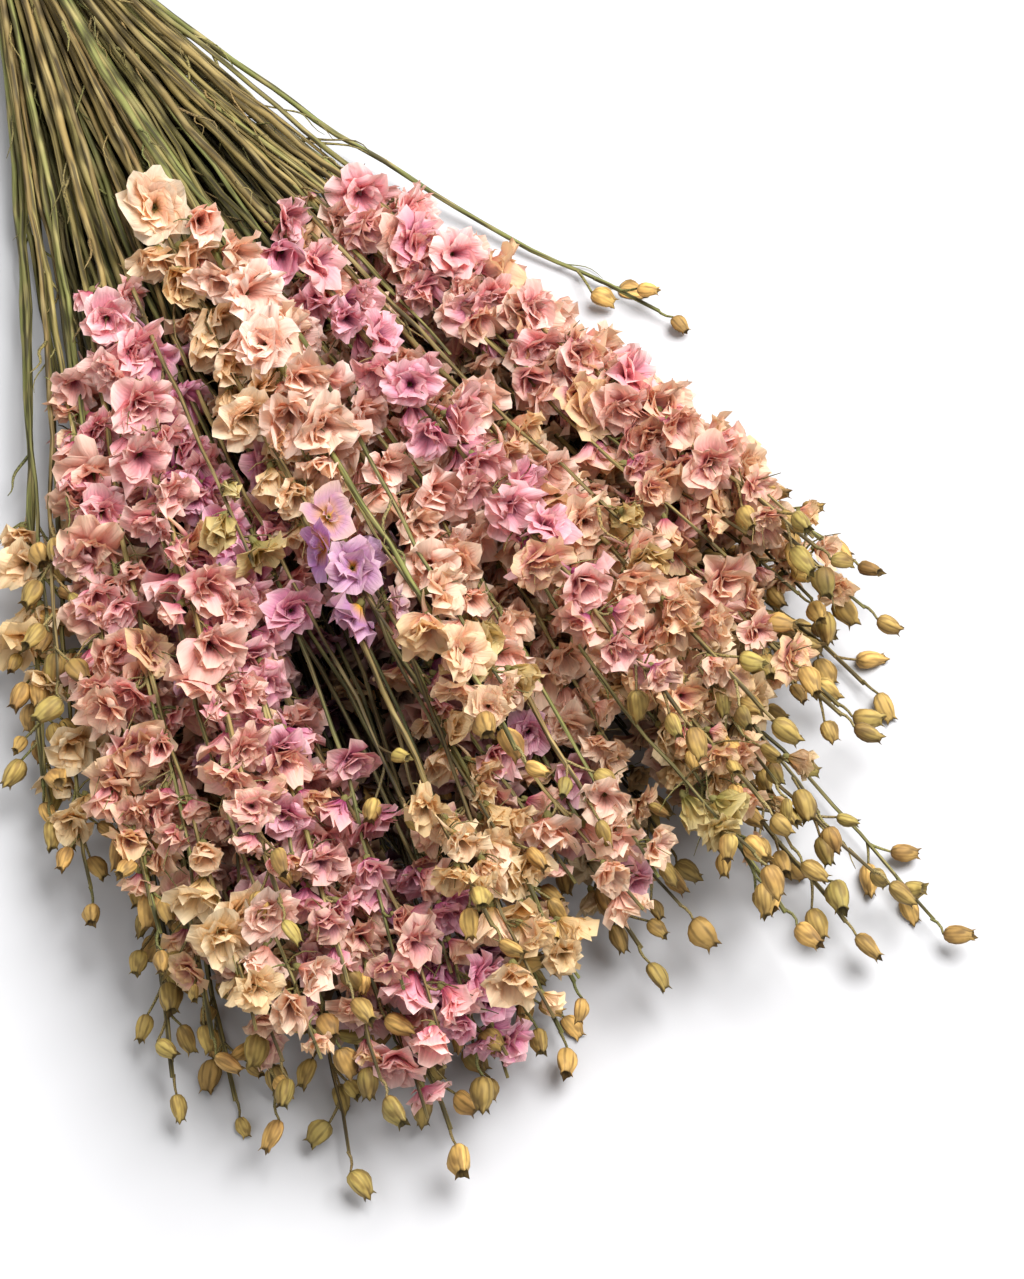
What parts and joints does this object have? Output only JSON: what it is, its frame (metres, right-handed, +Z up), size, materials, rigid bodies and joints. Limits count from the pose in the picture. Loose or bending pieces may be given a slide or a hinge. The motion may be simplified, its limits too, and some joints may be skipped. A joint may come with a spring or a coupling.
{
  "type": "dried larkspur bunch",
  "caption": "Bunch of dried larkspur lying on its side: ruffled pink, peach, lilac and cream flower spikes and golden seed capsules, fanned from a raffia-tied waist.",
  "frame": {"origin": "bottom centre of the whole bunch's bounding box, on the table it lies on", "axes": "+X along the bunch from the cut stem ends to the flower tips, +Y across the fan, +Z up"},
  "size_m": [0.687, 0.3184, 0.1018],
  "materials": {
    "stem": "matte",
    "florets_pink": "matte",
    "florets_peach": "matte",
    "florets_lilac": "matte",
    "florets_cream": "matte",
    "capsules": "matte",
    "raffia": "matte"
  },
  "bodies": {
    "root": {"stem_01": "stem", "florets_01": "florets_peach", "stem_02": "stem", "florets_02": "florets_cream", "stem_03": "stem", "florets_03": "florets_lilac", "stem_04": "stem", "florets_04": "florets_pink", "stem_05": "stem", "florets_05": "florets_pink", "stem_06": "stem", "florets_06": "florets_pink", "stem_07": "stem", "florets_07": "florets_peach", "stem_08": "stem", "florets_08": "florets_lilac", "stem_09": "stem", "florets_09": "florets_pink", "stem_10": "stem", "florets_10": "florets_lilac", "stem_11": "stem", "florets_11": "florets_cream", "stem_12": "stem", "florets_12": "florets_peach", "stem_13": "stem", "florets_13": "florets_pink", "stem_14": "stem", "florets_14": "florets_cream", "stem_15": "stem", "florets_15": "florets_cream", "stem_16": "stem", "florets_16": "florets_lilac", "stem_17": "stem", "florets_17": "florets_pink", "stem_18": "stem", "florets_18": "florets_pink", "stem_19": "stem", "florets_19": "florets_cream", "stem_20": "stem", "florets_20": "florets_lilac", "stem_21": "stem", "florets_21": "florets_cream", "stem_22": "stem", "florets_22": "florets_peach", "stem_23": "stem", "florets_23": "florets_pink", "stem_24": "stem", "stem_25": "stem", "florets_25": "florets_pink", "stem_26": "stem", "florets_26": "florets_cream", "stem_27": "stem", "florets_27": "florets_pink", "stem_28": "stem", "florets_28": "florets_peach", "stem_29": "stem", "florets_29": "florets_cream", "stem_30": "stem", "raffia_turns": "raffia", "raffia_knot": "raffia"}
  },
  "joints": []
}
